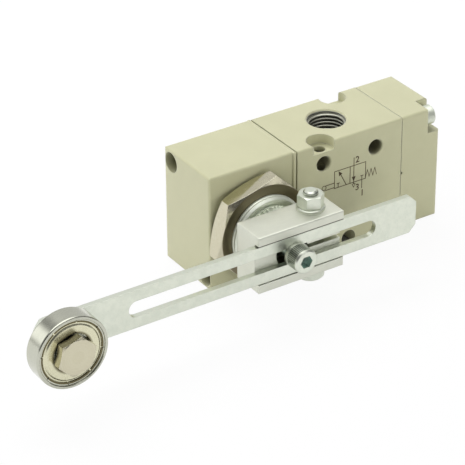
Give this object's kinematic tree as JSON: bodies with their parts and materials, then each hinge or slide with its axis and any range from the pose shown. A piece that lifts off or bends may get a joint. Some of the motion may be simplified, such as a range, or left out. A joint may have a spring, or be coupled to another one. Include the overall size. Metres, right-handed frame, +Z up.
{
  "type": "roller lever air valve",
  "caption": "Spool valve for compressed air with threaded ports, worked by a slotted adjustable side lever with a ball bearing roller and returned by a spring.",
  "frame": {"origin": "on the base plane under the lever pivot, halfway through the depth", "axes": "+X along the body towards the end cap, -Y out of the lever side, +Z up out of port 2"},
  "size_m": [0.1775, 0.066, 0.0425],
  "materials": {
    "body_paint": "satin beige paint on cast and machined aluminium",
    "zinc_steel": "bright zinc plated steel",
    "bearing_steel": "ground bearing steel",
    "nickel_plate": "nickel plated steel",
    "yellow_passivate": "pale yellow passivated sheet steel",
    "bare_alloy": "plain machined aluminium",
    "bronze": "sintered bronze",
    "seal_rubber": "black nitrile rubber",
    "spacer_plastic": "natural acetal"
  },
  "bodies": {
    "valve": {"valve_body": "body_paint", "actuator_head": "body_paint", "end_cap": "body_paint", "head_gasket": "seal_rubber", "cap_gasket": "seal_rubber", "head_screws": "zinc_steel", "cap_screws": "zinc_steel", "shaft_housing": "nickel_plate", "housing_gasket": "seal_rubber", "shaft_bush": "bronze", "shaft_seal": "seal_rubber", "plunger_guide": "bronze", "plunger_seal": "seal_rubber", "spool_seals": "seal_rubber", "seal_spacers": "spacer_plastic", "return_spring": "bearing_steel"},
    "shaft": {"lever_shaft": "bearing_steel", "cam": "bearing_steel", "cam_pin": "zinc_steel", "index_disc": "zinc_steel"},
    "clamp": {"clamp_block": "bare_alloy", "clamp_bolt": "zinc_steel", "clamp_washer": "zinc_steel", "clamp_nut": "zinc_steel", "lever_screw": "zinc_steel", "lock_washer": "zinc_steel"},
    "arm": {"lever_bar": "zinc_steel", "roller_axle": "nickel_plate", "axle_spacer": "zinc_steel", "axle_nut": "zinc_steel", "inner_ring": "bearing_steel"},
    "roller": {"outer_ring": "bearing_steel", "roller_shields": "yellow_passivate", "shield_rings": "bearing_steel"},
    "ball_set": {"roller_balls": "bearing_steel", "ball_cage": "bronze"},
    "spool_set": {"plunger": "bearing_steel", "spool": "bare_alloy", "spring_seat": "zinc_steel"}
  },
  "joints": [
    {"name": "lever_swing", "type": "hinge", "parent": "valve", "child": "shaft", "pos_m": [0, -0.02, 0.02125], "axis": [0, 1, 0], "range_deg": [0, 42], "stiffness_Nm_per_rad": 0.13, "springref_deg": -51.57},
    {"name": "spool_slide", "type": "slide", "parent": "valve", "child": "spool_set", "axis": [1, 0, 0], "range_m": [0, 0.0034], "deforming": ["return_spring"]},
    {"name": "clamp_turn", "type": "hinge", "parent": "shaft", "child": "clamp", "pos_m": [0, -0.03, 0.02125], "axis": [0, 1, 0], "continuous": true},
    {"name": "arm_slide", "type": "slide", "parent": "clamp", "child": "arm", "axis": [1, 0, 0], "range_m": [-0.0286, 0.0596]},
    {"name": "roller_spin", "type": "hinge", "parent": "arm", "child": "roller", "pos_m": [-0.089, -0.0455, 0.02125], "axis": [0, 1, 0], "continuous": true},
    {"name": "ball_orbit", "type": "hinge", "parent": "arm", "child": "ball_set", "pos_m": [-0.089, -0.0455, 0.02125], "axis": [0, 1, 0], "continuous": true}
  ],
  "couplings": [
    {"joint": "spool_slide", "follows": "lever_swing", "m_per_rad": 0.0046},
    {"joint": "ball_orbit", "follows": "roller_spin", "ratio": 0.6198}
  ]
}
